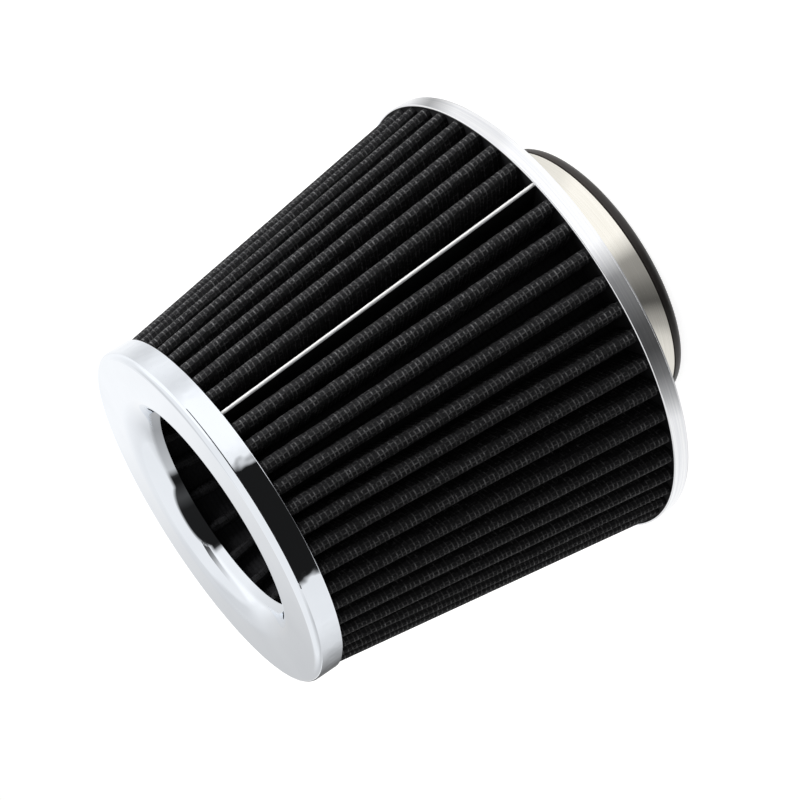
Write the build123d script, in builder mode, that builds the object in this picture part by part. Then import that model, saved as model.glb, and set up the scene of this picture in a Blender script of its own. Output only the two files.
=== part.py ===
"""Cone air filter with a second, inverted pleated cone behind its open front cap.

The filter stands on the rubber lip of its neck, with the front cap up.
The axis of the filter is Z, and the lip's end face is at Z = 0.
All lengths are millimetres and all angles are degrees.
"""

import os
from math import asin, copysign, cos, degrees, radians, sin, sqrt

from build123d import *

os.makedirs("parts", exist_ok=True)

# Neck and rubber sleeve
BORE_DIAMETER = 76.0        # intake pipe that the sleeve is pushed over
SLEEVE_WALL = 7.0
LIP_HEIGHT = 4.1            # rubber lip that shows below the neck
LIP_PROUD = 0.2             # how far the lip stands out past the neck
LIP_LAND = 0.5              # straight side of the lip above its rounded edge
MOUTH_ROUND = 1.5           # inner edge of the lip, where the pipe goes in
BEAD_WIDTH = 2.0            # bead that locks the sleeve behind the neck flange
BEAD_HEIGHT = 2.0
BEAD_CHAMFER = 0.8
NECK_WALL = 1.0
NECK_LENGTH = 21.5          # bare metal between the lip and the base ring
FLANGE_WIDTH = 8.0
NECK_BEND = 0.5             # bend between the tube and its flange

# Base ring
BASE_DIAMETER = 155.0
BASE_SHEET = 0.8
BAND_HEIGHT = 6.0
BASE_BEND = 1.0             # outer radius of the bend between band and back

# Front cap
CAP_DIAMETER = 117.6
CAP_SHEET = 0.6
SKIRT_HEIGHT = 9.1
CAP_BEND = 2.1              # outer radius of the bend between face and skirt
FACE_WIDTH = 23.0           # from the skirt to the narrowest part of the rolled mouth
MOUTH_ROLL = 8.6            # outer radius of the roll from the face into the throat
MOUTH_TAIL = 0.1            # straight end of the roll

# Outer pleats
EXPOSED_HEIGHT = 111.7      # pleats between the base ring and the skirt
PLEAT_COUNT = 50
SEAM_PITCHES = 1.8          # gap between the two pleats at the seam, in pleat pitches
PLEAT_DEPTH = 12.0
MEDIA_THICKNESS = 1.6       # screen, gauze and screen together
FOLD_GAP = 1.2              # between the two walls of one pleat
SEAM_AZIMUTH = 293.5
SEAM_LEAN = 0.075           # strip's distance from the middle of its gap, in pitches
STRIP_SHEET = 0.4
STRIP_SLOT = 0.5            # between the two legs of the strip
STRIP_SETBACK = 0.3         # strip's edge behind the tips of the pleats

# Inner pleats
INNER_COUNT = 20
INNER_THICKNESS = 1.5
INNER_FOLD_GAP = 0.6
INNER_END_RADIUS = 16.0     # tips of the inner pleats at the closed end
INNER_HEIGHT = 74.0
INNER_AZIMUTH = 4.8
CONE_GAP = 1.3              # between the roots of the two cones at the cap

# Potting and closing cup
BASE_SETBACK = 1.0          # base potting below the edge of the band
MOUTH_COVER = 0.2           # front potting past the end of the rolled mouth
POTTING_REACH = 4.0         # inner edge of the base potting from the neck
CUP_FLOOR = 5.0
CUP_RIM = 2.0
CUP_WALL = 2.0
CUP_ROUND = 1.5

# Clearances and small edges
FIT_GAP = 0.1               # between round faces that sit in each other
TIP_GAP = 0.2               # between pleat tips and the metal around them
EDGE_SHARE = 0.45           # rounding of a sheet's free edge, as a share of the sheet
VALLEY_ROUND = 0.8          # rounding at the floor between pleats
VALLEY_SHARE = 0.6          # most of the room there that the rounding may take

# Radii worked out from the sizes above
bore_radius = BORE_DIAMETER / 2
sleeve_radius = bore_radius + SLEEVE_WALL
neck_inner = sleeve_radius + FIT_GAP
neck_outer = neck_inner + NECK_WALL
lip_radius = neck_outer + LIP_PROUD
flange_radius = neck_outer + FLANGE_WIDTH
base_radius = BASE_DIAMETER / 2
band_inner = base_radius - BASE_SHEET
cap_radius = CAP_DIAMETER / 2
skirt_inner = cap_radius - CAP_SHEET
throat_radius = cap_radius - FACE_WIDTH

# Heights worked out from the sizes above
back_z = LIP_HEIGHT + NECK_LENGTH
pan_z = back_z + BASE_SHEET
flange_z = pan_z + NECK_WALL
band_z = back_z + BAND_HEIGHT
skirt_z = band_z + EXPOSED_HEIGHT
face_z = skirt_z + SKIRT_HEIGHT
mouth_z = face_z - MOUTH_ROLL - MOUTH_TAIL
media_bottom = band_z - BASE_SETBACK
media_top = mouth_z - MOUTH_COVER
inner_bottom = media_top - INNER_HEIGHT

# Outer pleats: their tips clear the band at the bottom and the skirt's edge at the top
pleat_width = 2 * MEDIA_THICKNESS + FOLD_GAP
strip_width = 2 * STRIP_SHEET + STRIP_SLOT
pitch = 360 / (PLEAT_COUNT - 1 + SEAM_PITCHES)
first_pleat = SEAM_AZIMUTH + (SEAM_PITCHES / 2 + SEAM_LEAN) * pitch
base_tip = band_inner - TIP_GAP
skirt_tip = skirt_inner - TIP_GAP
taper = (base_tip - skirt_tip) / (skirt_z - media_bottom)
cap_tip = base_tip - taper * (media_top - media_bottom)

# Inner pleats: they fill the room between the rolled mouth and the outer pleats
inner_width = 2 * INNER_THICKNESS + INNER_FOLD_GAP
inner_tip = throat_radius + CAP_SHEET + TIP_GAP
inner_root = cap_tip - PLEAT_DEPTH - MEDIA_THICKNESS - CONE_GAP
inner_depth = inner_root - INNER_THICKNESS - inner_tip
inner_end_root = INNER_END_RADIUS + inner_depth + INNER_THICKNESS
cup_inner = inner_end_root + (inner_root - inner_end_root) * CUP_RIM / INNER_HEIGHT + TIP_GAP


def polar(angle, radial, across=0.0):
    """Point at a distance along the ray at an angle, moved across that ray."""
    turn = radians(angle)
    return Vector(radial * cos(turn) - across * sin(turn), radial * sin(turn) + across * cos(turn))


def tip_edges(angle, half, center, tip, wall_end):
    """Rounded tip and two straight walls of a fold."""
    left = polar(angle, center, -half), polar(angle, wall_end, -half)
    right = polar(angle, center, half), polar(angle, wall_end, half)
    return [
        Line(*left, mode=Mode.PRIVATE),
        ThreePointArc(left[0], polar(angle, tip), right[0], mode=Mode.PRIVATE),
        Line(*right, mode=Mode.PRIVATE),
    ]


def pleated_side(angles, step, half, tip, floor, inset):
    """Closed edges of one side of a pleated sheet, set back into the sheet from the side of its tips.

    Each fold has a rounded tip and straight walls, and rounded corners join its walls to the floor.
    """
    outward = copysign(1, tip - floor)
    slope = sin(radians(step / 2))
    room = (floor * slope - half) / (1 - outward * slope)
    corner = min(VALLEY_ROUND, VALLEY_SHARE * room) + inset
    half -= inset
    tip -= outward * inset
    floor -= outward * inset
    reach = floor + outward * corner
    wall_end = sqrt(reach**2 - (half + corner) ** 2)
    spread = degrees(asin((half + corner) / reach))
    edges = []
    for angle, following in zip(angles, angles[1:] + [angles[0] + 360]):
        edges += tip_edges(angle, half, tip - outward * half, tip, wall_end)
        for side in (-1, 1):
            wall = polar(angle, wall_end, side * half)
            low = polar(angle + side * spread, floor)
            edges.append(TangentArc(wall, low, tangent=polar(angle, -outward), mode=Mode.PRIVATE))
        middle = polar((angle + following) / 2, floor)
        floor_ends = polar(angle + spread, floor), polar(following - spread, floor)
        edges.append(ThreePointArc(floor_ends[0], middle, floor_ends[1], mode=Mode.PRIVATE))
    return edges


def outer_side(tip, inset):
    """One side of the outer sheet, whose folds point away from the axis."""
    angles = [first_pleat + pitch * index for index in range(PLEAT_COUNT)]
    return pleated_side(angles, pitch, pleat_width / 2, tip, tip - PLEAT_DEPTH, inset)


def inner_side(tip, inset):
    """One side of the inner sheet, whose folds point at the axis."""
    step = 360 / INNER_COUNT
    angles = [INNER_AZIMUTH + step * index for index in range(INNER_COUNT)]
    return pleated_side(angles, step, inner_width / 2, tip, tip + inner_depth, inset)


def strip_section(tip):
    """Edges of the folded strip: two legs and a rounded fold, open towards the axis."""
    fold = tip - STRIP_SETBACK - strip_width / 2
    foot = tip - PLEAT_DEPTH + FIT_GAP
    edges = []
    for half in (strip_width / 2, STRIP_SLOT / 2):
        edges += tip_edges(SEAM_AZIMUTH, half, fold, fold + half, foot)
    for side in (-1, 1):
        outside = polar(SEAM_AZIMUTH, foot, side * strip_width / 2)
        inside = polar(SEAM_AZIMUTH, foot, side * STRIP_SLOT / 2)
        edges.append(Line(outside, inside, mode=Mode.PRIVATE))
    return edges


# Rubber sleeve with its lip and its locking bead
with BuildPart() as neck_sleeve:
    with BuildSketch(Plane.XZ) as sleeve_profile:
        with BuildLine():
            Polyline(
                (bore_radius, 0),
                (lip_radius, 0),
                (lip_radius, LIP_HEIGHT),
                (sleeve_radius, LIP_HEIGHT),
                (sleeve_radius, flange_z),
                (sleeve_radius + BEAD_WIDTH, flange_z),
                (sleeve_radius + BEAD_WIDTH, flange_z + BEAD_HEIGHT),
                (bore_radius, flange_z + BEAD_HEIGHT),
                close=True,
            )
        make_face()
        fillet(sleeve_profile.vertices().group_by(Axis.Y)[0].sort_by(Axis.X)[-1], LIP_HEIGHT - LIP_LAND)
        fillet(sleeve_profile.vertices().group_by(Axis.Y)[0].sort_by(Axis.X)[0], MOUTH_ROUND)
        chamfer(sleeve_profile.vertices().group_by(Axis.Y)[-1], BEAD_CHAMFER)
    revolve(axis=Axis.Z)

# Metal neck tube, flanged outwards inside the base ring
with BuildPart() as neck:
    with BuildSketch(Plane.XZ):
        with BuildLine():
            FilletPolyline(
                (neck_outer, LIP_HEIGHT), (neck_outer, pan_z), (flange_radius, pan_z), radius=NECK_BEND
            )
            offset(amount=NECK_WALL, side=Side.LEFT)
        make_face()
    revolve(axis=Axis.Z)

# Base ring: a shallow pan with a hole for the neck and a rounded free edge
with BuildPart() as base_ring:
    with BuildSketch(Plane.XZ) as base_profile:
        with BuildLine():
            FilletPolyline(
                (base_radius, band_z),
                (base_radius, back_z),
                (neck_outer + FIT_GAP, back_z),
                radius=BASE_BEND,
            )
            offset(amount=BASE_SHEET, side=Side.RIGHT)
        make_face()
        fillet(base_profile.vertices().group_by(Axis.Y)[-1], BASE_SHEET * EDGE_SHARE)
        fillet(base_profile.vertices().group_by(Axis.X)[0].sort_by(Axis.Y)[-1], NECK_BEND)
    revolve(axis=Axis.Z)

# Potting that fills the pan and covers the neck flange
with BuildPart() as base_potting:
    with BuildSketch(Plane.XZ) as filling_profile:
        with BuildLine():
            Polyline(
                (neck_outer + POTTING_REACH, flange_z),
                (flange_radius + FIT_GAP, flange_z),
                (flange_radius + FIT_GAP, pan_z),
                (band_inner - FIT_GAP, pan_z),
                (band_inner - FIT_GAP, media_bottom),
                (neck_outer + POTTING_REACH, media_bottom),
                close=True,
            )
        make_face()
        fillet(filling_profile.vertices().group_by(Axis.Y)[0].sort_by(Axis.X)[-1], BASE_BEND)
    revolve(axis=Axis.Z)

# Front cap: one pressed sheet from the skirt over the face and down the rolled mouth
with BuildPart() as front_cap:
    with BuildSketch(Plane.XZ) as cap_profile:
        with BuildLine():
            FilletPolyline(
                (cap_radius, skirt_z),
                (cap_radius, face_z),
                (throat_radius, face_z),
                (throat_radius, mouth_z),
                radius=(CAP_BEND, MOUTH_ROLL),
            )
            offset(amount=CAP_SHEET, side=Side.LEFT)
        make_face()
        fillet(cap_profile.vertices().group_by(Axis.Y)[0], CAP_SHEET * EDGE_SHARE)
    revolve(axis=Axis.Z)

# Potting behind the face of the cap, which both cones are bonded to
with BuildPart() as front_potting:
    with BuildSketch(Plane.XZ) as potting_profile:
        with BuildLine():
            Polyline(
                (inner_tip, media_top),
                (inner_tip, face_z - CAP_SHEET),
                (skirt_inner - FIT_GAP, face_z - CAP_SHEET),
                (skirt_inner - FIT_GAP, media_top),
                close=True,
            )
        make_face()
        for end, corner_round in ((0, MOUTH_ROLL - CAP_SHEET), (-1, CAP_BEND - CAP_SHEET)):
            top = potting_profile.vertices().group_by(Axis.Y)[-1].sort_by(Axis.X)
            fillet(top[end], corner_round)
    revolve(axis=Axis.Z)

# Outer pleats: one folded sheet, joined at the seam and lofted from the base to the cap
with BuildPart() as outer_media:
    for height, tip in ((media_bottom, base_tip), (media_top, cap_tip)):
        with BuildSketch(Plane.XY.offset(height)):
            make_face(outer_side(tip, 0))
            make_face(outer_side(tip, MEDIA_THICKNESS), mode=Mode.SUBTRACT)
    loft(ruled=True, clean=False)

# Seam strip: a folded sheet that stands on the joined ends of the pleats
with BuildPart() as seam_strip:
    for height, tip in ((media_bottom, base_tip), (media_top, cap_tip)):
        with BuildSketch(Plane.XY.offset(height)):
            make_face(strip_section(tip))
    loft(ruled=True)

# Inner pleats: a closed folded sheet that narrows away from the cap
with BuildPart() as inner_media:
    for height, tip in ((inner_bottom, INNER_END_RADIUS), (media_top, inner_tip)):
        with BuildSketch(Plane.XY.offset(height)):
            make_face(inner_side(tip, INNER_THICKNESS))
            make_face(inner_side(tip, 0), mode=Mode.SUBTRACT)
    loft(ruled=True, clean=False)

# Cup that closes the small end of the inner cone
with BuildPart() as inner_end_cup:
    with BuildSketch(Plane.XZ) as cup_profile:
        with BuildLine():
            Polyline(
                (0, inner_bottom - CUP_FLOOR),
                (cup_inner + CUP_WALL, inner_bottom - CUP_FLOOR),
                (cup_inner + CUP_WALL, inner_bottom + CUP_RIM),
                (cup_inner, inner_bottom + CUP_RIM),
                (cup_inner, inner_bottom),
                (0, inner_bottom),
                close=True,
            )
        make_face()
        fillet(cup_profile.vertices().group_by(Axis.Y)[0].sort_by(Axis.X)[-1], CUP_ROUND)
    revolve(axis=Axis.Z)

pieces = {
    "neck_sleeve": neck_sleeve,
    "neck": neck,
    "base_ring": base_ring,
    "base_potting": base_potting,
    "front_cap": front_cap,
    "front_potting": front_potting,
    "outer_media": outer_media,
    "seam_strip": seam_strip,
    "inner_media": inner_media,
    "inner_end_cup": inner_end_cup,
}
for name, piece in pieces.items():
    piece.part.label = name
    export_step(piece.part, f"parts/{name}.step")
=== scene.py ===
"""Looks of the cone air filter: fine meshes and materials over the CAD frame, camera and studio.

Lengths are metres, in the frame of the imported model: the filter stands on the rubber lip of its neck,
with its axis along Z and the front cap up. Angles are radians, apart from those of the studio's cards,
which are degrees round the axis, counted from +X.
"""

import random
from math import asin, cos, pi, radians, sin, sqrt, tau

import bmesh
import bpy
import numpy as np
from mathutils import Matrix, Vector


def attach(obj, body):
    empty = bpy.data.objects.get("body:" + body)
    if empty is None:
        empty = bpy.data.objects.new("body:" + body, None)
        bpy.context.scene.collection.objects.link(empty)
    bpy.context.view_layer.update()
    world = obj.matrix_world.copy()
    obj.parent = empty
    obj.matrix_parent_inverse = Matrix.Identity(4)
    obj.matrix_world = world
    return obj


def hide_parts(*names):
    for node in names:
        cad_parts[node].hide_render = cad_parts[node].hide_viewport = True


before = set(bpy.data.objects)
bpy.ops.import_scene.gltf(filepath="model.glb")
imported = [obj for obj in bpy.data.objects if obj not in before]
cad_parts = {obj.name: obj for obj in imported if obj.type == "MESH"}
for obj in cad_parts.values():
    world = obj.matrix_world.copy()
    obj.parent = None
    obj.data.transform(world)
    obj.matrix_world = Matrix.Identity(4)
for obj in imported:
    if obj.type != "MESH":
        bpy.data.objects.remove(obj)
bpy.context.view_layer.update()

MM = 0.001

# Sheet metal and rubber
CAP_SHEET = 0.6 * MM
CAP_BEND = 2.1 * MM
MOUTH_ROLL = 8.6 * MM
MOUTH_TAIL = 0.1 * MM
BASE_SHEET = 0.8 * MM
BASE_BEND = 1.0 * MM
NECK_WALL = 1.0 * MM
NECK_BEND = 0.5 * MM
SLEEVE_WALL = 7.0 * MM
LIP_HEIGHT = 4.1 * MM
LIP_PROUD = 0.2 * MM
LIP_ROUND = 3.6 * MM
MOUTH_ROUND = 1.5 * MM
BEAD_HEIGHT = 2.0 * MM
BEAD_ROUND = 0.8 * MM
EDGE_ROUND = 0.02 * MM      # rounding of a corner that is nearly sharp

# Pleats, as in the solids
PLEAT_COUNT = 50
SEAM_PITCHES = 1.8          # width of the gap that holds the seam strip, in pitches
SEAM_AZIMUTH = radians(293.5)
SEAM_LEAN = 0.075           # how far the gap's middle lies past the strip, in pitches
PLEAT_DEPTH = 12.0 * MM
PLEAT_WIDTH = 4.4 * MM
MEDIA_THICKNESS = 1.6 * MM
INNER_COUNT = 20
INNER_AZIMUTH = radians(4.8)
INNER_WIDTH = 3.6 * MM
INNER_THICKNESS = 1.5 * MM
VALLEY_ROUND = 0.8 * MM
VALLEY_SHARE = 0.6          # most of the room between two walls that a valley's rounding takes

# Seam strip: bare metal at its fold, with painted shade (near black) on its legs below it, between the pleats
STRIP_LIT_DEPTH = 0.62 * MM    # how far below the pleats' tips the strip is bare metal
STRIP_FADE = 0.2 * MM

# Wire screen over the pleats
WIRE_PITCH = 1.5 * MM
WIRE_WIDTH = 0.42 * MM
WIRE_HEIGHT = 0.2 * MM
WIRE_SECTION = ((-0.5, -WIRE_HEIGHT), (0, 0), (0.5, -WIRE_HEIGHT))    # aside in wire widths, and lift
WIRE_END = 0.002            # gap at the ends of a lengthwise wire, as a share of the pleats' height
SCREEN_DEPTH = 6.5 * MM     # how far the separate wires go down a wall

# Painted shade on the walls of the outer pleats: the screen and gauze darken by depth below the pleats' tips,
# which so stay lighter
WALL_SHADE_START = 0.15 * MM
WALL_SHADE_END = 0.9 * MM
GAUZE_WALL_SHADE = 0.3            # how far the walls lie below the tips, on the scale of the coat's noise
WIRE_WALL_SHADE = 0.15

# Unevenness of folded media
LEAN = 0.28 * MM            # uneven spacing of the pleats
SWAY = 0.22 * MM            # slow waves along a pleat
SLOW_WAVES = 1.6            # half waves along a pleat
QUICK_WAVES = 5.2
QUICK_SHARE = 0.4           # height of the quick waves beside the slow ones
HOLD_POWER = 8              # how suddenly the waves die out at the ends, which the potting holds
DRIFT = 0.16                # uneven places of the screen's wires, in wire pitches
SLANT = 0.3                 # wires that go across a fold aslant, in wire pitches
SEED = 11

# Mesh density
TURN_STEPS = 288
BEND_STEPS = 20
TIP_STEPS = 12
CORNER_STEPS = 3
FLOOR_STEPS = 3
RUNG_STEPS = 8
SHEET_ROWS = 24
SUPPORT = 0.12 * MM         # edge loop beside a bend, which keeps the flat next to it flat
LONG_STRETCH = 10 * SUPPORT
SHARP_DEGREES = 40          # angle between two faces from which their edge is sharp
NEVER_SHARP = 180
LEVEL_TOLERANCE = 0.02 * MM

# Range in which most of a noise texture lies
NOISE_LOW, NOISE_HIGH = 0.3, 0.7

# Camera, from the circles of the filter in the picture
IMAGE_SIZE = 800
FOCAL_PIXELS = 2383.2
SENSOR_WIDTH = 36.0
CLIP_NEAR, CLIP_FAR = 0.01, 50
AXIS_TILT = radians(18.33)  # how far the axis leans out of the picture plane
AXIS_TURN = radians(32.92)  # how far the axis points below the picture's left
RING_IN_VIEW = Vector((36.68, -25.47, 761.36)) * MM   # base ring's front, x right, y down, z away

# Floor, sky and lamps
WHITE = (1, 1, 1, 1)
FLOOR_HALF = 4.0
FLOOR_DROP = 0.1 * MM
FLOOR_BOUNCE = (0.35, 0.35, 0.35, 1)
FLOOR_SHADOW = (0.4, 0.4, 0.4, 1)
FLOOR_GLOW = 0.9
SKY_LIGHT = 0.26
SKY_SHINE = 0.92            # sky that polished metal mirrors
FILTER_MIDDLE = Vector((0, 0, 0.085))

# Cards that polished metal mirrors
CARD_STEP = 4
HALF_TURN = 180
DARK = 0.012
BOARD_RADIUS = 1.0
BRIGHT_RADIUS = 1.1
FRONT_START, FRONT_WEDGE, FRONT_END = -154, -74, -30
FRONT_TOP = 0.29
VISOR_START, VISOR_MIDDLE, VISOR_END = 62, 87.5, 106
VISOR_GAP = 0.5 * MM
VISOR_DROP = 3.0 * MM
VISOR_FOOT = 4.4 * MM
VISOR_RISE = 10.2 * MM
VISOR_POWER = 0.9           # fullness of the visor's outline
TAIL_PLACES = (97, 104, 120)
TAIL_LOWS = (4.2 * MM, 4.6 * MM, 5.6 * MM)
TAIL_HIGHS = (6.8 * MM, 8.2 * MM, 8.4 * MM)
BACK_PLACE = 0.064
BACK_TOP = 0.206
BACK_HALF = 0.4
BACK_SPAN = 0.1             # half of the width over which the back board's level changes


def reach(node):
    """Smallest and largest radius, then lowest and highest Z, of a CAD node."""
    points = np.array([v.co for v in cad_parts[node].data.vertices])
    radii = np.hypot(points[:, 0], points[:, 1])
    return radii.min(), radii.max(), points[:, 2].min(), points[:, 2].max()


def tip_radii(node, outward):
    """Radius of the pleat tips at the lower and at the upper end of a pleated CAD node."""
    points = np.array([v.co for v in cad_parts[node].data.vertices])
    radii = np.hypot(points[:, 0], points[:, 1])
    ends = []
    for level in (points[:, 2].min(), points[:, 2].max()):
        at_level = radii[np.abs(points[:, 2] - level) < LEVEL_TOLERANCE]
        ends.append(at_level.max() if outward > 0 else at_level.min())
    return ends


# Mesh helpers


def add_object(name, vertices, faces, material):
    """New mesh object of one material."""
    mesh = bpy.data.meshes.new(name)
    mesh.from_pydata([tuple(p) for p in vertices], [], [tuple(f) for f in faces])
    mesh.materials.append(material)
    made = bpy.data.objects.new(name, mesh)
    bpy.context.scene.collection.objects.link(made)
    return made


def add_piece(name, vertices, faces, material, replaced=(), sharp_degrees=SHARP_DEGREES):
    """New smooth mesh that rides on the filter's one body."""
    piece = add_object(name, vertices, faces, material)
    mesh = piece.data
    work = bmesh.new()
    work.from_mesh(mesh)
    bmesh.ops.recalc_face_normals(work, faces=work.faces)
    work.to_mesh(mesh)
    work.free()
    mesh.shade_smooth()
    mesh.set_sharp_from_angle(angle=radians(sharp_degrees))
    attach(piece, "root")
    if replaced:
        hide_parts(*replaced)


def grid_faces(rows, columns, close_rows=False, close_columns=False, offset=0):
    """Quads between neighbouring points of a grid that is stored row by row."""
    faces = []
    for row in range(rows if close_rows else rows - 1):
        above = (row + 1) % rows
        for column in range(columns if close_columns else columns - 1):
            beside = (column + 1) % columns
            corners = ((row, column), (row, beside), (above, beside), (above, column))
            faces.append([offset + r * columns + c for r, c in corners])
    return faces


# Profiles of turned pieces, as (radius, height)


def left_of(along):
    """Unit normal on the left of a direction."""
    return np.array((-along[1], along[0])) / np.linalg.norm(along)


def rotated(vector, angle):
    """Flat vector turned to the left by an angle."""
    x, y = vector
    return np.array((x * cos(angle) - y * sin(angle), x * sin(angle) + y * cos(angle)))


def rounded_path(corners, bends, closed=False):
    """Points and unit normals of a polyline whose inner corners are arcs."""
    corners = [np.array(c, float) for c in corners]
    count = len(corners)
    path = []
    for index, corner in enumerate(corners):
        bend = bends[index]
        before = corners[index - 1] - corner
        after = corners[(index + 1) % count] - corner
        if not closed and index in (0, count - 1):
            along = after if index == 0 else -before
            path.append((corner, left_of(along)))
            continue
        before /= np.linalg.norm(before)
        after /= np.linalg.norm(after)
        half_angle = np.arccos(np.clip(before @ after, -1, 1)) / 2
        middle = (before + after) / np.linalg.norm(before + after)
        center = corner + middle * bend / sin(half_angle)
        start = corner + before * bend / np.tan(half_angle)
        turn = -np.sign(before[0] * after[1] - before[1] * after[0])
        spread = (pi - 2 * half_angle) * turn
        for step in range(BEND_STEPS + 1):
            arm = rotated(start - center, spread * step / BEND_STEPS)
            path.append((center + arm, -turn * arm / bend))
    return path


def with_supports(points):
    """Closed profile with extra points near the ends of its long straight stretches."""
    result = []
    for here, following in zip(points, points[1:] + points[:1]):
        result.append(here)
        length = np.linalg.norm(following - here)
        if length > LONG_STRETCH:
            step = (following - here) * SUPPORT / length
            result += [here + step, following - step]
    return result


def sheet_profile(corners, bends, sheet):
    """Closed profile of a bent sheet with rounded free edges; the sheet lies on the left of the path."""
    path = rounded_path(corners, bends)
    front = [point for point, normal in path]
    back = [point + normal * sheet for point, normal in path]
    edges = []
    for point, normal, along in ((*path[-1], front[-1] - front[-2]), (*path[0], front[0] - front[1])):
        along = along / np.linalg.norm(along)
        center = point + normal * sheet / 2 - along * sheet / 2
        angles = np.linspace(-pi / 2, pi / 2, BEND_STEPS + 1)
        edges.append([center + (along * cos(a) + normal * sin(a)) * sheet / 2 for a in angles])
    return with_supports(front[1:-1] + edges[0] + back[1:-1][::-1] + edges[1][::-1])


def solid_profile(corners, bends):
    """Closed profile of a moulded ring with rounded corners."""
    return with_supports([point for point, normal in rounded_path(corners, bends, closed=True)])


def add_turned(name, profile, material, replaced):
    """Ring made by turning a closed profile round Z."""
    ring = np.array(profile)
    turns = np.linspace(0, tau, TURN_STEPS, endpoint=False)
    heights = np.broadcast_to(ring[:, 1], (TURN_STEPS, len(ring)))
    wide = np.outer(np.cos(turns), ring[:, 0]), np.outer(np.sin(turns), ring[:, 0])
    vertices = np.stack([*wide, heights], axis=-1).reshape(-1, 3)
    faces = grid_faces(TURN_STEPS, len(ring), close_rows=True, close_columns=True)
    add_piece(name, vertices, faces, material, [replaced])


# Pleated sheets


class Pleats:
    """Shape of a pleated cone: its folds, their unevenness and the two ends that it runs between."""

    def __init__(self, node, angles, step, width, depth, outward, seed):
        self.angles, self.step, self.half, self.depth = angles, step, width / 2, depth
        self.outward = outward
        self.low, self.high = reach(node)[2:]
        self.tips = tip_radii(node, outward)
        self.draw = random.Random(seed)
        # For each fold its lean, then the height and phase of its slow and of its quick wave
        self.waves = [[self.draw.uniform(-1, 1) for _ in range(5)] for _ in angles]

    def tip(self, rise):
        """Tip radius at a share of the height."""
        return self.tips[0] + (self.tips[1] - self.tips[0]) * rise

    def sway(self, index, rise):
        """How far a fold's tip lies from its ideal place, across its ray."""
        lean, slow, slow_phase, quick, quick_phase = self.waves[index]
        held = 1 - (2 * rise - 1) ** HOLD_POWER
        slow_wave = slow * sin(pi * (SLOW_WAVES * rise + slow_phase))
        quick_wave = QUICK_SHARE * quick * sin(pi * (QUICK_WAVES * rise + quick_phase))
        return LEAN * lean + SWAY * (slow_wave + quick_wave) * held

    def place(self, index, rise, along, across):
        """Point of a fold from its distance along its ray and across it."""
        floor = self.tip(rise) - self.outward * self.depth
        share = min(max((along - floor) / (self.outward * self.depth), 0), 1)
        across += self.sway(index, rise) * share
        angle = self.angles[index]
        height = self.low + (self.high - self.low) * rise
        x = along * cos(angle) - across * sin(angle)
        y = along * sin(angle) + across * cos(angle)
        return np.array((x, y, height))

    def crest(self, index, rise, path, lift):
        """Point above the screen side of a fold, at a path length from the middle of its tip."""
        quarter = self.half * pi / 2
        center = self.tip(rise) - self.outward * self.half
        side = 1 if path > 0 else -1
        if abs(path) < quarter:
            turn = path / self.half
            radius = self.half + lift
            return self.place(index, rise, center + self.outward * radius * cos(turn), radius * sin(turn))
        down = abs(path) - quarter
        return self.place(index, rise, center - self.outward * down, side * (self.half + lift))

    def loop(self, rise, inset):
        """Closed row of points round one side of the sheet at one height."""
        tip = self.tip(rise)
        floor = tip - self.outward * self.depth
        slope = sin(self.step / 2)
        room = (floor * slope - self.half) / (1 - self.outward * slope)
        corner = min(VALLEY_ROUND, VALLEY_SHARE * room) + inset
        half, tip, floor = self.half - inset, tip - self.outward * inset, floor - self.outward * inset
        middle = floor + self.outward * corner
        wall_end = sqrt(middle**2 - (half + corner) ** 2)
        spread = asin((half + corner) / middle)
        arm = self.outward * (pi / 2 - self.outward * spread)
        points = []
        for index, angle in enumerate(self.angles):
            following = (self.angles + [self.angles[0] + tau])[index + 1]
            left = [
                (wall_end - sin(arm * k / CORNER_STEPS) * corner,
                 half + corner - cos(arm * k / CORNER_STEPS) * corner)
                for k in range(CORNER_STEPS + 1)
            ]
            center = tip - self.outward * half
            turns = np.linspace(-pi / 2, pi / 2, TIP_STEPS + 1)
            fold = [(along, -across) for along, across in reversed(left)]
            fold += [(center + self.outward * half * cos(t), half * sin(t)) for t in turns]
            fold += left
            points += [self.place(index, rise, along, across) for along, across in fold]
            height = self.low + (self.high - self.low) * rise
            for share in np.linspace(0, 1, FLOOR_STEPS + 2)[1:-1]:
                turn = angle + spread + (following - angle - 2 * spread) * share
                points.append(np.array((floor * cos(turn), floor * sin(turn), height)))
        return points

    def add_sheet(self, name, thickness, material, node):
        """Closed folded sheet with the screen's wires left out of its thickness."""
        sides = [
            [self.loop(rise, inset) for rise in np.linspace(0, 1, SHEET_ROWS)]
            for inset in (WIRE_HEIGHT, thickness)
        ]
        around = len(sides[0][0])
        vertices = [p for side in sides for row in side for p in row]
        faces = []
        for side in range(2):
            faces += grid_faces(SHEET_ROWS, around, close_columns=True, offset=side * SHEET_ROWS * around)
        for row in (0, SHEET_ROWS - 1):
            near, far = row * around, (SHEET_ROWS + row) * around
            for column in range(around):
                beside = (column + 1) % around
                faces.append([near + column, near + beside, far + beside, far + column])
        add_piece(name, vertices, faces, material, [node])

    def add_rungs(self, name, material):
        """Wires of the screen that go across the folds."""
        quarter = self.half * pi / 2
        end = quarter + SCREEN_DEPTH
        path = [-end, *np.linspace(-quarter, quarter, RUNG_STEPS + 1), end]
        count = int((self.high - self.low) / WIRE_PITCH)
        width = WIRE_WIDTH / (self.high - self.low)
        vertices, faces = [], []
        for index in range(len(self.angles)):
            for k in range(1, count):
                rise = (k + self.draw.uniform(-DRIFT, DRIFT)) / count
                slant = self.draw.uniform(-SLANT, SLANT) / count / end
                faces += grid_faces(len(WIRE_SECTION), len(path), offset=len(vertices))
                for aside, lift in WIRE_SECTION:
                    edge = rise + aside * width
                    vertices += [self.crest(index, edge + slant * s, s, lift) for s in path]
        add_piece(name, vertices, faces, material, sharp_degrees=NEVER_SHARP)

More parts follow.
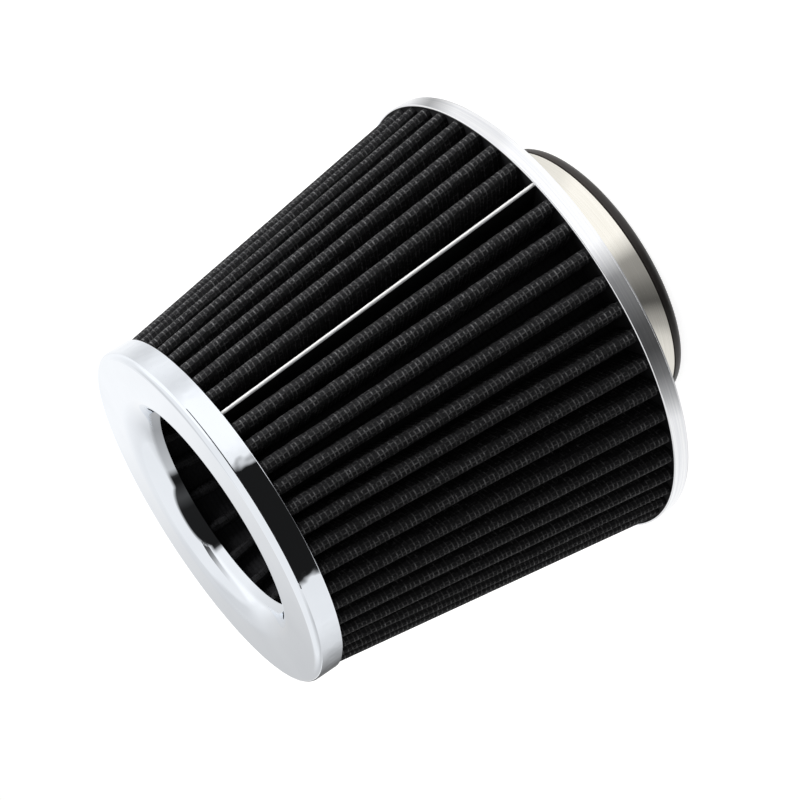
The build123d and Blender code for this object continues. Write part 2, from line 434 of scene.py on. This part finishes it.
    def add_wires(self, name, material):
        """Wires of the screen that go along the folds."""
        rises = np.linspace(WIRE_END, 1 - WIRE_END, SHEET_ROWS)
        each_side = int((self.half * pi / 2 + SCREEN_DEPTH) / WIRE_PITCH)
        vertices, faces = [], []
        for index in range(len(self.angles)):
            for k in range(-each_side, each_side + 1):
                path = WIRE_PITCH * k
                bends = [path + self.draw.uniform(-DRIFT, DRIFT) * WIRE_PITCH for _ in rises]
                faces += grid_faces(len(WIRE_SECTION), SHEET_ROWS, offset=len(vertices))
                for aside, lift in WIRE_SECTION:
                    edge = [bend + aside * WIRE_WIDTH for bend in bends]
                    vertices += [self.crest(index, rise, s, lift) for rise, s in zip(rises, edge)]
        add_piece(name, vertices, faces, material, sharp_degrees=NEVER_SHARP)


# Materials


class Nodes:
    """Helpers that make and join the nodes of a tree."""

    def __init__(self, tree):
        self.tree = tree

    def node(self, kind, **settings):
        """New node; settings are properties, or input sockets when the node has no such property."""
        made = self.tree.nodes.new(kind)
        for key, value in settings.items():
            if hasattr(made, key):
                setattr(made, key, value)
            else:
                made.inputs[key.replace("_", " ")].default_value = value
        return made

    def join(self, output, target):
        """Link from an output to an input."""
        self.tree.links.new(output, target)

    def math(self, operation, *values):
        """Result of a Math node, whose values are outputs or plain numbers."""
        made = self.node("ShaderNodeMath", operation=operation)
        for socket, value in zip(made.inputs, values):
            if isinstance(value, bpy.types.NodeSocket):
                self.join(value, socket)
            else:
                socket.default_value = value
        return made.outputs[0]

    def split(self, vector):
        """X, Y and Z of a vector."""
        made = self.node("ShaderNodeSeparateXYZ")
        self.join(vector, made.inputs[0])
        return list(made.outputs)

    def combine(self, *parts):
        """Vector of two or three outputs."""
        made = self.node("ShaderNodeCombineXYZ")
        for part, socket in zip(parts, made.inputs):
            self.join(part, socket)
        return made.outputs[0]

    def mapped(self, value, start, end, low=0.0, high=1.0, interpolation="LINEAR"):
        """Value brought from the range between start and end to the one between low and high."""
        made = self.node("ShaderNodeMapRange", interpolation_type=interpolation)
        for socket, limit in (("From Min", start), ("From Max", end), ("To Min", low), ("To Max", high)):
            made.inputs[socket].default_value = limit
        self.join(value, made.inputs["Value"])
        return made.outputs["Result"]

    def ramp(self, factor, stops):
        """Colour from a ramp through (place, colour) stops."""
        made = self.node("ShaderNodeValToRGB")
        while len(made.color_ramp.elements) < len(stops):
            made.color_ramp.elements.new(0.5)
        for element, (place, colour) in zip(made.color_ramp.elements, stops):
            element.position = place
            element.color = (*colour, 1)
        self.join(factor, made.inputs["Fac"])
        return made.outputs["Color"]

    def object_place(self):
        """Object coordinates."""
        return self.node("ShaderNodeTexCoord").outputs["Object"]

    def mix(self, factor, first, second):
        """Shader between two others: the first one at 0, the second one at 1."""
        made = self.node("ShaderNodeMixShader")
        self.join(factor, made.inputs["Fac"])
        self.join(first, made.inputs[1])
        self.join(second, made.inputs[2])
        return made.outputs[0]


class Finish(Nodes):
    """Material of the filter: one Principled shader with procedural detail."""

    def __init__(self, name, **values):
        self.material = bpy.data.materials.new(name)
        self.material.use_nodes = True
        super().__init__(self.material.node_tree)
        self.shader = self.tree.nodes["Principled BSDF"]
        for socket, value in values.items():
            self.shader.inputs[socket.replace("_", " ")].default_value = value

    def scaled(self, vector, scale):
        """Coordinates, each times its scale."""
        mapping = self.node("ShaderNodeMapping", Scale=scale)
        self.join(vector, mapping.inputs["Vector"])
        return mapping.outputs["Vector"]

    def place(self, scale=(1, 1, 1)):
        """Object coordinates, each times its scale."""
        return self.scaled(self.object_place(), scale)

    def turned_place(self, radial=1, upright=1, around=1):
        """Coordinates that follow a turned surface: radius, height and angle, each times its scale."""
        x, y, height = self.split(self.object_place())
        radius = self.node("ShaderNodeVectorMath", operation="LENGTH")
        self.join(self.combine(x, y), radius.inputs[0])
        joined = self.combine(radius.outputs["Value"], height, self.math("ARCTAN2", y, x))
        return self.scaled(joined, (radial, upright, around))

    def along(self, way, start, end):
        """Factor that goes smoothly from 0 to 1 between two radii or two heights."""
        radius, height, _ = self.split(self.turned_place())
        value = radius if way == "radius" else height
        return self.mapped(value, start, end, interpolation="SMOOTHSTEP")

    def depth(self, start, end):
        """Factor that goes smoothly from 0 to 1 between two depths below the tips of the outer pleats."""
        (low_tip, high_tip), (low, high) = tip_radii("outer_media", 1), reach("outer_media")[2:]
        taper = (low_tip - high_tip) / (high - low)
        radius, tapered, _ = self.split(self.turned_place(upright=taper))
        tip = low_tip + taper * low
        distance = self.math("ADD", radius, tapered)
        return self.mapped(distance, tip - start, tip - end, interpolation="SMOOTHSTEP")

    def with_wall_shade(self, coat, wall_shade):
        """Noise of a coat, lowered by depth on the walls of the outer pleats as painted shade and left as it
        is on their tips.
        """
        return self.math("MULTIPLY_ADD", self.depth(WALL_SHADE_START, WALL_SHADE_END), -wall_shade, coat)

    def noise(self, vector, scale, detail=2.0, roughness=0.5):
        """Noise texture."""
        texture = self.node("ShaderNodeTexNoise", Scale=scale, Detail=detail, Roughness=roughness)
        self.join(vector, texture.inputs["Vector"])
        return texture.outputs["Fac"]

    def paint(self, colour):
        """Colour of the shader from an output."""
        self.join(colour, self.shader.inputs["Base Color"])

    def mottled(self, noise, dark, light):
        """Colour that a noise moves between two others."""
        return self.ramp(noise, ((NOISE_LOW, dark), (NOISE_HIGH, light)))

    def spread(self, noise, low, high):
        """Number that a noise moves between two others."""
        return self.mapped(noise, NOISE_LOW, NOISE_HIGH, low, high)

    def roughen(self, noise, low, high):
        """Roughness of the shader that a noise moves between two values."""
        self.join(self.spread(noise, low, high), self.shader.inputs["Roughness"])

    def bump(self, height, distance, strength=1.0, before=None):
        """Bump of a height field, on top of an earlier one; the last one made reaches the shader."""
        made = self.node("ShaderNodeBump", Strength=strength, Distance=distance)
        self.join(height, made.inputs["Height"])
        if before is not None:
            self.join(before, made.inputs["Normal"])
        self.join(made.outputs["Normal"], self.shader.inputs["Normal"])
        return made.outputs["Normal"]


def chrome(face_height, skirt_radius):
    """Plated cap: even on its face, slightly wavy on its skirt."""
    finish = Finish("chrome_plate", Metallic=1.0)
    soft = finish.noise(finish.place(), scale=60, detail=3)
    finish.paint(finish.mottled(soft, (0.848, 0.884, 0.935), (0.888, 0.924, 0.973)))
    finish.roughen(finish.noise(finish.place(), scale=420, detail=4), low=0.015, high=0.05)
    below_face = finish.along("height", face_height - CAP_BEND, face_height - 2 * CAP_BEND)
    near_edge = finish.along("radius", skirt_radius - 2 * CAP_BEND, skirt_radius - CAP_BEND)
    on_skirt = finish.math("MULTIPLY", below_face, near_edge)
    waves = finish.spread(finish.noise(finish.place(), scale=95), low=-0.5, high=0.5)
    finish.bump(finish.math("MULTIPLY", waves, on_skirt), distance=0.16 * MM)
    return finish.material


def polished_ring():
    """Base ring: polished metal with fine turning marks."""
    finish = Finish("polished_ring", Metallic=1.0)
    streaks = finish.noise(finish.turned_place(radial=900, upright=1500, around=1.5), scale=1, detail=3)
    finish.paint(finish.mottled(streaks, (0.8, 0.81, 0.84), (0.92, 0.925, 0.935)))
    finish.roughen(streaks, low=0.05, high=0.12)
    waves = finish.bump(finish.noise(finish.place(), scale=60), distance=0.03 * MM)
    finish.bump(streaks, distance=0.002 * MM, before=waves)
    return finish.material


def neck_metal():
    """Neck: satin metal, brushed round its axis."""
    finish = Finish("satin_neck", Metallic=1.0)
    streaks = finish.noise(finish.turned_place(radial=700, upright=3200, around=2.0), scale=1, detail=5)
    finish.paint(finish.mottled(streaks, (0.8, 0.772, 0.7), (0.87, 0.845, 0.78)))
    finish.roughen(streaks, low=0.09, high=0.15)
    finish.bump(streaks, distance=0.002 * MM)
    return finish.material


def bright_strip():
    """Bright metal fold of the seam strip, with painted shade on its legs below it, which go down between the
    pleats: near black.
    """
    finish = Finish("bright_strip", Metallic=0.3, Specular_IOR_Level=0.5)
    grain = finish.noise(finish.place(scale=(1, 1, 0.05)), scale=2600, detail=3)
    finish.roughen(grain, low=0.3, high=0.42)
    mix = finish.node("ShaderNodeMix", data_type="RGBA")
    finish.join(finish.depth(STRIP_LIT_DEPTH, STRIP_LIT_DEPTH + STRIP_FADE), mix.inputs["Factor"])
    finish.join(finish.mottled(grain, (0.9, 0.9, 0.89), (0.96, 0.96, 0.955)), mix.inputs["A"])
    # Painted shade: near black on the strip's legs, down in the shade between the pleats
    mix.inputs["B"].default_value = (0.01, 0.01, 0.011, 1)
    finish.paint(mix.outputs["Result"])
    finish.bump(grain, distance=0.004 * MM)
    return finish.material


def rubber():
    """Moulded sleeve: soft rubber with a faint bloom."""
    finish = Finish("soft_rubber", Specular_IOR_Level=0.36)
    bloom = finish.noise(finish.place(), scale=160, detail=5, roughness=0.6)
    finish.paint(finish.mottled(bloom, (0.02, 0.016, 0.0145), (0.04, 0.032, 0.0275)))
    finish.roughen(bloom, low=0.36, high=0.52)
    finish.bump(finish.noise(finish.place(), scale=2400, detail=3), distance=0.012 * MM)
    return finish.material


def potting():
    """Cast potting: black, softly uneven and pitted."""
    finish = Finish("cast_potting", Specular_IOR_Level=0.2)
    clouds = finish.noise(finish.place(), scale=120, detail=4)
    finish.paint(finish.mottled(clouds, (0.009, 0.009, 0.01), (0.022, 0.022, 0.023)))
    finish.roughen(clouds, low=0.42, high=0.6)
    pits = finish.node("ShaderNodeTexVoronoi", Scale=900.0, feature="F1")
    finish.join(finish.place(), pits.inputs["Vector"])
    swell = finish.bump(clouds, distance=0.15 * MM)
    finish.bump(pits.outputs["Distance"], distance=0.03 * MM, strength=0.4, before=swell)
    return finish.material


def gauze():
    """Cotton gauze behind the screen: fibres and a fine weave, with painted shade on the pleats' walls that
    leaves the tips lighter.
    """
    finish = Finish("black_gauze", Specular_IOR_Level=0.04, Roughness=0.85)
    fibres = finish.noise(finish.place(), scale=1500, detail=4, roughness=0.65)
    stops = (
        (0.1, (0.017, 0.017, 0.0184)),
        (NOISE_LOW, (0.018, 0.018, 0.0194)),
        (NOISE_HIGH, (0.029, 0.029, 0.0308)),
    )
    finish.paint(finish.ramp(finish.with_wall_shade(fibres, GAUZE_WALL_SHADE), stops))
    weave = finish.node("ShaderNodeTexWave", wave_type="BANDS", bands_direction="Z", Scale=210.0)
    finish.join(finish.place(), weave.inputs["Vector"])
    fuzz = finish.bump(fibres, distance=0.15 * MM)
    finish.bump(weave.outputs["Fac"], distance=0.1 * MM, before=fuzz)
    return finish.material


def screen_wire(name, shine, grey, wall_shade=0):
    """Black coated wire, lighter grey in random places as painted glints, and with painted shade on the walls
    of the outer pleats when one is given.
    """
    finish = Finish(name, Specular_IOR_Level=shine)
    coat = finish.noise(finish.place(), scale=640, detail=4, roughness=0.6)
    with_wall_shade = finish.with_wall_shade(coat, wall_shade) if wall_shade else coat
    # Painted glints: the coat's noise lifts the grey up to 1.8 times in random places, in place of shine that
    # varies along the wires
    shares = ((0.28, 0.1), (0.4, 0.32), (0.5, 0.75), (0.6, 1.2), (0.7, 1.8))
    finish.paint(finish.ramp(with_wall_shade, [(place, [share * c for c in grey]) for place, share in shares]))
    finish.roughen(coat, low=0.32, high=0.5)
    finish.bump(finish.noise(finish.place(), scale=3000), distance=0.02 * MM)
    return finish.material


# Front cap

throat, cap_radius, skirt_low, cap_top = reach("front_cap")
mouth_low = cap_top - MOUTH_ROLL - MOUTH_TAIL
cap_corners = ((cap_radius, skirt_low), (cap_radius, cap_top), (throat, cap_top), (throat, mouth_low))
cap_profile = sheet_profile(cap_corners, (0, CAP_BEND, MOUTH_ROLL, 0), CAP_SHEET)
add_turned("front_cap_shell", cap_profile, chrome(cap_top, cap_radius), "front_cap")

# Base ring

hole, base_radius, base_back, base_front = reach("base_ring")
base_corners = ((hole, base_back), (base_radius, base_back), (base_radius, base_front))
base_profile = sheet_profile(base_corners, (0, BASE_BEND, 0), BASE_SHEET)
add_turned("base_ring_shell", base_profile, polished_ring(), "base_ring")

# Neck

neck_inner, flange_radius, neck_low, neck_high = reach("neck")
neck_radius = neck_inner + NECK_WALL
flange_low = neck_high - NECK_WALL
neck_corners = ((neck_radius, neck_low), (neck_radius, flange_low), (flange_radius, flange_low))
neck_profile = sheet_profile(neck_corners, (0, NECK_BEND, 0), NECK_WALL)
add_turned("neck_tube", neck_profile, neck_metal(), "neck")

# Rubber sleeve

bore, bead_radius, lip_low, sleeve_high = reach("neck_sleeve")
sleeve_radius = bore + SLEEVE_WALL
lip_radius = neck_radius + LIP_PROUD
lip_high = lip_low + LIP_HEIGHT
bead_low = sleeve_high - BEAD_HEIGHT
sleeve_corners, sleeve_bends = zip(
    ((bore, lip_low), MOUTH_ROUND),
    ((lip_radius, lip_low), LIP_ROUND),
    ((lip_radius, lip_high), EDGE_ROUND),
    ((sleeve_radius, lip_high), EDGE_ROUND),
    ((sleeve_radius, bead_low), EDGE_ROUND),
    ((bead_radius, bead_low), EDGE_ROUND),
    ((bead_radius, sleeve_high), BEAD_ROUND),
    ((bore, sleeve_high), BEAD_ROUND),
)
add_turned("rubber_sleeve", solid_profile(sleeve_corners, sleeve_bends), rubber(), "neck_sleeve")

# Outer pleats

gauze_finish = gauze()
pitch = tau / (PLEAT_COUNT - 1 + SEAM_PITCHES)
first_pleat = SEAM_AZIMUTH + (SEAM_PITCHES / 2 + SEAM_LEAN) * pitch
outer_angles = [first_pleat + pitch * k for k in range(PLEAT_COUNT)]
outer = Pleats("outer_media", outer_angles, pitch, PLEAT_WIDTH, PLEAT_DEPTH, 1, SEED)
outer.add_sheet("outer_gauze", MEDIA_THICKNESS, gauze_finish, "outer_media")
# Painted highlight: the rungs get a coat twice as light as the lengthwise wires, for the light that they
# catch across the folds
rung_finish = screen_wire("coated_rung", shine=0.14, grey=(0.112, 0.112, 0.1145), wall_shade=WIRE_WALL_SHADE)
wire_finish = screen_wire("coated_wire", shine=0.14, grey=(0.055, 0.055, 0.0565), wall_shade=WIRE_WALL_SHADE)
outer.add_rungs("outer_screen_rungs", rung_finish)
outer.add_wires("outer_screen_wires", wire_finish)

# Inner pleats

inner_step = tau / INNER_COUNT
inner_angles = [INNER_AZIMUTH + inner_step * k for k in range(INNER_COUNT)]
inner_depth = reach("inner_media")[1] - INNER_THICKNESS - tip_radii("inner_media", -1)[1]
inner = Pleats("inner_media", inner_angles, inner_step, INNER_WIDTH, inner_depth, -1, SEED + 1)
inner.add_sheet("inner_gauze", INNER_THICKNESS, gauze_finish, "inner_media")
# Painted shade: the inner screen's wires get a far darker coat than the outer ones, for the shade deep inside
# the cap's mouth
shaded_inner_wire_finish = screen_wire("inner_wire", shine=0.1, grey=(0.01, 0.01, 0.0106))
inner.add_rungs("inner_screen_rungs", shaded_inner_wire_finish)
inner.add_wires("inner_screen_wires", shaded_inner_wire_finish)

# Pieces that show the meshes of their solids

potting_finish = potting()
for node, finish in (
    ("front_potting", potting_finish),
    ("base_potting", potting_finish),
    ("inner_end_cup", potting_finish),
    ("seam_strip", bright_strip()),
):
    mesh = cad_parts[node].data
    mesh.materials.clear()
    mesh.materials.append(finish)

# Camera

view_axis = Vector((-cos(AXIS_TILT) * cos(AXIS_TURN), cos(AXIS_TILT) * sin(AXIS_TURN), -sin(AXIS_TILT)))
across_view = view_axis.cross(Vector((0, 0, 1))).normalized()
filter_from_view = Matrix((-across_view, -view_axis.cross(across_view), view_axis))
ring_center = Vector((0, 0, base_front))

camera_data = bpy.data.cameras.new("camera")
camera_data.sensor_width = SENSOR_WIDTH
camera_data.lens = FOCAL_PIXELS / IMAGE_SIZE * SENSOR_WIDTH
camera_data.clip_start, camera_data.clip_end = CLIP_NEAR, CLIP_FAR
camera = bpy.data.objects.new("camera", camera_data)
camera_turn = filter_from_view @ Matrix.Diagonal((1, -1, -1))
camera.matrix_world = Matrix.Translation(ring_center - filter_from_view @ RING_IN_VIEW) @ camera_turn.to_4x4()
bpy.context.scene.collection.objects.link(camera)
bpy.context.scene.camera = camera


# Studio


class StudioShade(Nodes):
    """Material of the floor or of a card, made of plain shaders."""

    def __init__(self, name):
        self.material = bpy.data.materials.new(name)
        self.material.use_nodes = True
        super().__init__(self.material.node_tree)
        self.tree.nodes.remove(self.tree.nodes["Principled BSDF"])

    def grey_ramp(self, factor, stops):
        """Grey from a ramp through (place, level) stops."""
        return self.ramp(factor, [(place, (level, level, level)) for place, level in stops])

    def seen_rays(self):
        """Switch that is 1 for camera, glossy and transmission rays and 0 for others."""
        path = self.node("ShaderNodeLightPath")
        either = self.math("MAXIMUM", path.outputs["Is Camera Ray"], path.outputs["Is Glossy Ray"])
        return self.math("MAXIMUM", either, path.outputs["Is Transmission Ray"])

    def clear(self):
        """Shader that lets all rays through."""
        return self.node("ShaderNodeBsdfTransparent").outputs[0]

    def clear_from_behind(self, front):
        """Shader that is seen on the front of a face only."""
        geometry = self.node("ShaderNodeNewGeometry")
        return self.mix(geometry.outputs["Backfacing"], front, self.clear())

    def show(self, surface):
        """Shader that the material shows."""
        self.join(surface, self.tree.nodes["Material Output"].inputs["Surface"])


def floor_material():
    """White for the camera and in reflections, with the filter's soft shadow left on it; clear from below."""
    shade = StudioShade("studio_floor")
    bounce = shade.node("ShaderNodeBsdfDiffuse", Color=FLOOR_BOUNCE)
    shadow = shade.node("ShaderNodeBsdfDiffuse", Color=FLOOR_SHADOW)
    glow = shade.node("ShaderNodeEmission", Strength=FLOOR_GLOW)
    both = shade.node("ShaderNodeAddShader")
    shade.join(shadow.outputs[0], both.inputs[0])
    shade.join(glow.outputs[0], both.inputs[1])
    seen = shade.mix(shade.seen_rays(), bounce.outputs[0], both.outputs[0])
    shade.show(shade.clear_from_behind(seen))
    return shade.material


def card_shine(name, strength, stops, across=False, fade=None, one_sided=False):
    """Shine of a card whose level follows (degrees, level) stops round the axis, or (x, level) across it.

    A fade has (share of the card's height, cover) stops, where a cover of 0 is clear. A one-sided card is
    clear from behind.
    """
    shade = StudioShade(name)
    if across:
        half_range = BACK_SPAN
        factor = shade.mapped(shade.split(shade.object_place())[0], -BACK_SPAN, BACK_SPAN)
    else:
        half_range = HALF_TURN
        around = shade.node("ShaderNodeTexGradient", gradient_type="RADIAL")
        shade.join(shade.object_place(), around.inputs["Vector"])
        factor = around.outputs["Fac"]
    level = shade.grey_ramp(factor, [(place / (2 * half_range) + 0.5, level) for place, level in stops])
    glow = shade.node("ShaderNodeEmission", Strength=strength)
    shade.join(level, glow.inputs["Color"])
    surface = glow.outputs[0]
    if fade:
        upward = shade.node("ShaderNodeAttribute", attribute_name="share")
        surface = shade.mix(shade.grey_ramp(upward.outputs["Fac"], fade), shade.clear(), surface)
    if one_sided:
        surface = shade.clear_from_behind(surface)
    shade.show(surface)
    return shade.material


def stage_object(name, vertices, faces, material):
    """Floor or card, which isn't part of the filter."""
    made = add_object(name, vertices, faces, material)
    return made


def reflection_card(name, material, rows):
    """Card that shows in polished metal and nowhere else; a row is a pair of points, low and high."""
    vertices = [point for row in rows for point in row]
    card = stage_object(name, vertices, grid_faces(len(rows), 2), material)
    shares = card.data.attributes.new("share", "FLOAT", "POINT")
    shares.data.foreach_set("value", [0.0, 1.0] * len(rows))
    card.visible_camera = False
    card.visible_diffuse = False
    card.visible_shadow = False
    card.visible_transmission = False
    card.visible_volume_scatter = False


def round_row(degrees, *edges):
    """Row of a card round the axis, from (radius, height) pairs."""
    across, away = cos(radians(degrees)), sin(radians(degrees))
    return [(radius * across, radius * away, height) for radius, height in edges]


def table_card(name, inside, outside, strength, stops):
    """Card that lies on the table as a ring."""
    edges = (inside, FLOOR_DROP), (outside, FLOOR_DROP)
    rows = [round_row(a, *edges) for a in range(-HALF_TURN, HALF_TURN + 1, CARD_STEP)]
    reflection_card(name, card_shine(name, strength, stops), rows)


def upright_card(name, radius, ends, heights, strength, stops, fade):
    """Card that stands round the axis, between two directions and two heights."""
    edges = [(radius, height) for height in heights]
    rows = [round_row(a, *edges) for a in range(ends[0], ends[1] + 1, CARD_STEP)]
    reflection_card(name, card_shine(name, strength, stops, fade=fade), rows)


def front_row(degrees):
    """Row of the dark front board, whose top slopes down to the height of the cap."""
    top = np.interp(degrees, (FRONT_WEDGE, FRONT_END), (FRONT_TOP, cap_top))
    return round_row(degrees, (BOARD_RADIUS, 0), (BOARD_RADIUS, top))


def visor_row(degrees):
    """Row of the visor inside the lip: dark and high on the far side, elsewhere a low bright foot."""
    half_width = VISOR_MIDDLE - VISOR_START if degrees < VISOR_MIDDLE else VISOR_END - VISOR_MIDDLE
    share = min(abs(degrees - VISOR_MIDDLE) / half_width, 1)
    rise = max(VISOR_FOOT, VISOR_GAP + VISOR_RISE * cos(pi / 2 * share) ** VISOR_POWER)
    radius = throat - VISOR_GAP
    return round_row(degrees, (radius, mouth_low - VISOR_DROP), (radius, mouth_low + rise))


def tail_row(degrees):
    """Row of the visor's tail, a paler strip at its far end."""
    heights = [mouth_low + np.interp(degrees, TAIL_PLACES, rises) for rises in (TAIL_LOWS, TAIL_HIGHS)]
    return round_row(degrees, *((throat - VISOR_GAP, height) for height in heights))


# Floor

corner_signs = ((-1, -1), (1, -1), (1, 1), (-1, 1))
floor_corners = [(x * FLOOR_HALF, y * FLOOR_HALF, -FLOOR_DROP) for x, y in corner_signs]
stage_object("floor", floor_corners, [range(len(floor_corners))], floor_material())

# Cards on the table, for the neck, the base ring and the skirt

table_card(
    "neck_table", inside=0.0465, outside=0.1, strength=1.15,
    stops=(
        (-180, 0.55), (-158, 0.78), (-146, 0.74), (-139, 0.64), (-132, 0.38), (-126, 0.28), (-119, 0.08),
        (-111, 0.15), (-103, 0.26), (-95, 0.3), (-88, 0.75), (-82, 1.0), (-50, 1.0), (-40, 0.85), (-18, 0.8),
        (2, 0.45), (22, 0.8), (48, 0.85), (64, 0.3), (84, 0.1), (104, 0.25), (120, 0.8), (160, 0.85),
        (180, 0.55),
    ),
)
table_card(
    "ring_table", inside=0.105, outside=0.33, strength=1.15,
    stops=(
        (-180, 0.88), (-151, 0.8), (-142, 0.4), (-133, 0.15), (-123, 0.06), (-114, 0.075), (-105, 0.15),
        (-96, 0.24), (-88, 0.72), (-83, 1.0), (-40, 1.0), (-33, 0.86), (-8, 0.86), (8, 0.4), (24, 0.85),
        (45, 0.9), (62, 0.25), (82, 0.08), (104, 0.2), (122, 0.85), (160, 0.9), (180, 0.88),
    ),
)
table_card(
    "far_table", inside=0.33, outside=3.0, strength=1.1,
    stops=(
        (-180, 0.82), (-153, 0.8), (-149, 0.01), (-77, 0.01), (-72, 0.85), (-60, 1.0), (-28, 1.0),
        (-12, 0.75), (8, 0.9), (30, 0.68), (52, 0.9), (82, 0.95), (102, 0.2), (118, 0.14), (135, 0.34),
        (152, 0.66), (175, 0.83),
    ),
)

# Boards round the filter, for the skirt and the face of the cap

reflection_card(
    "front_board", card_shine("front_board", 1.0, ((-HALF_TURN, DARK), (HALF_TURN, DARK))),
    [front_row(degrees) for degrees in range(FRONT_START, FRONT_END + 1, CARD_STEP)],
)
upright_card(
    "side_board", radius=BOARD_RADIUS, ends=(142, 210), heights=(0.1, 0.8), strength=1.0,
    stops=((-180, 0.6), (-170, 0.66), (-150, SKY_SHINE), (142, SKY_SHINE), (160, 0.66), (180, 0.6)),
    fade=((0, 1), (0.3, 1), (1, 0)),
)
upright_card(
    "bright_board", radius=BRIGHT_RADIUS, ends=(-58, 30), heights=(0.17, 1.0), strength=1.15,
    stops=((-180, 0.8), (-58, 0.8), (-50, 0.96), (18, 0.96), (30, 0.82), (180, 0.8)),
    fade=((0, 1), (0.75, 1), (1, 0)),
)
upright_card(
    "grey_board", radius=BOARD_RADIUS, ends=(28, 92), heights=(0.7, 2.4), strength=1.0,
    stops=(
        (-180, SKY_SHINE), (28, SKY_SHINE), (44, 0.74), (72, 0.7), (84, 0.8), (92, SKY_SHINE),
        (180, SKY_SHINE),
    ),
    fade=((0, 0), (0.2, 1), (0.5, 1), (1, 0)),
)

# Cards close to the cap, for its rolled lip and the far part of its face

visor_stops = (
    (-180, 0.7), (0, 0.5), (30, 0.36), (58, 0.56), (62, DARK), (66, 0.014), (74, 0.06), (80, 0.014),
    (104, DARK), (107, 0.95), (130, 0.95), (150, 0.82), (180, 0.7),
)
reflection_card(
    "lip_visor", card_shine("lip_visor", 1.0, visor_stops, fade=((0, 1), (0.78, 1), (1, 0)), one_sided=True),
    [visor_row(degrees) for degrees in range(HALF_TURN, -HALF_TURN - 1, -1)],
)
tail_stops = ((-180, DARK), (97, DARK), (102, 0.1), (106, 0.3), (111, 0.6), (120, 0.9))
reflection_card(
    "visor_tail", card_shine("visor_tail", 1.0, tail_stops, one_sided=True),
    [tail_row(degrees) for degrees in range(TAIL_PLACES[-1], TAIL_PLACES[0] - 1, -1)],
)
back_stops = (
    (-0.1, 0.62), (-0.055, 0.635), (-0.04, 0.66), (-0.028, 0.7), (-0.014, 0.74), (0, 0.8), (0.014, 0.88),
    (0.028, 0.95), (0.042, 1.02),
)
reflection_card(
    "back_board", card_shine("back_board", 1.0, back_stops, across=True, fade=((0, 1), (0.37, 1), (1, 0))),
    [[(x, BACK_PLACE, cap_top), (x, BACK_PLACE, BACK_TOP)] for x in (-BACK_HALF, BACK_HALF)],
)

# Lamps and sky


def area_light(name, place, width, power):
    """Square lamp that points at the filter and that metal doesn't mirror."""
    data = bpy.data.lights.new(name, "AREA")
    data.shape = "SQUARE"
    data.size = width
    data.energy = power
    light = bpy.data.objects.new(name, data)
    light.location = place
    light.rotation_euler = (FILTER_MIDDLE - Vector(place)).to_track_quat("-Z", "Y").to_euler()
    light.visible_glossy = False
    bpy.context.scene.collection.objects.link(light)


def white_world():
    """White to the camera, nearly white in reflections, and a soft even light otherwise."""
    world = bpy.data.worlds.new("studio")
    bpy.context.scene.world = world
    world.use_nodes = True
    sky = Nodes(world.node_tree)
    path = sky.node("ShaderNodeLightPath")
    light = world.node_tree.nodes["Background"]
    light.inputs["Color"].default_value = WHITE
    light.inputs["Strength"].default_value = SKY_LIGHT
    shade = light.outputs[0]
    for rays, strength in (("Glossy", SKY_SHINE), ("Transmission", 1.0), ("Camera", 1.0)):
        seen = sky.node("ShaderNodeBackground", Color=WHITE, Strength=strength)
        shade = sky.mix(path.outputs[f"Is {rays} Ray"], shade, seen.outputs[0])
    sky.join(shade, world.node_tree.nodes["World Output"].inputs["Surface"])


area_light("key", (0.88, -0.22, 0.54), width=0.7, power=14)
area_light("fill", (-0.7, -0.8, 0.6), width=0.9, power=0.2)
area_light("back_fill", (-0.3, 0.9, 0.6), width=0.9, power=2.8)
white_world()
bpy.context.scene.view_settings.view_transform = "Standard"
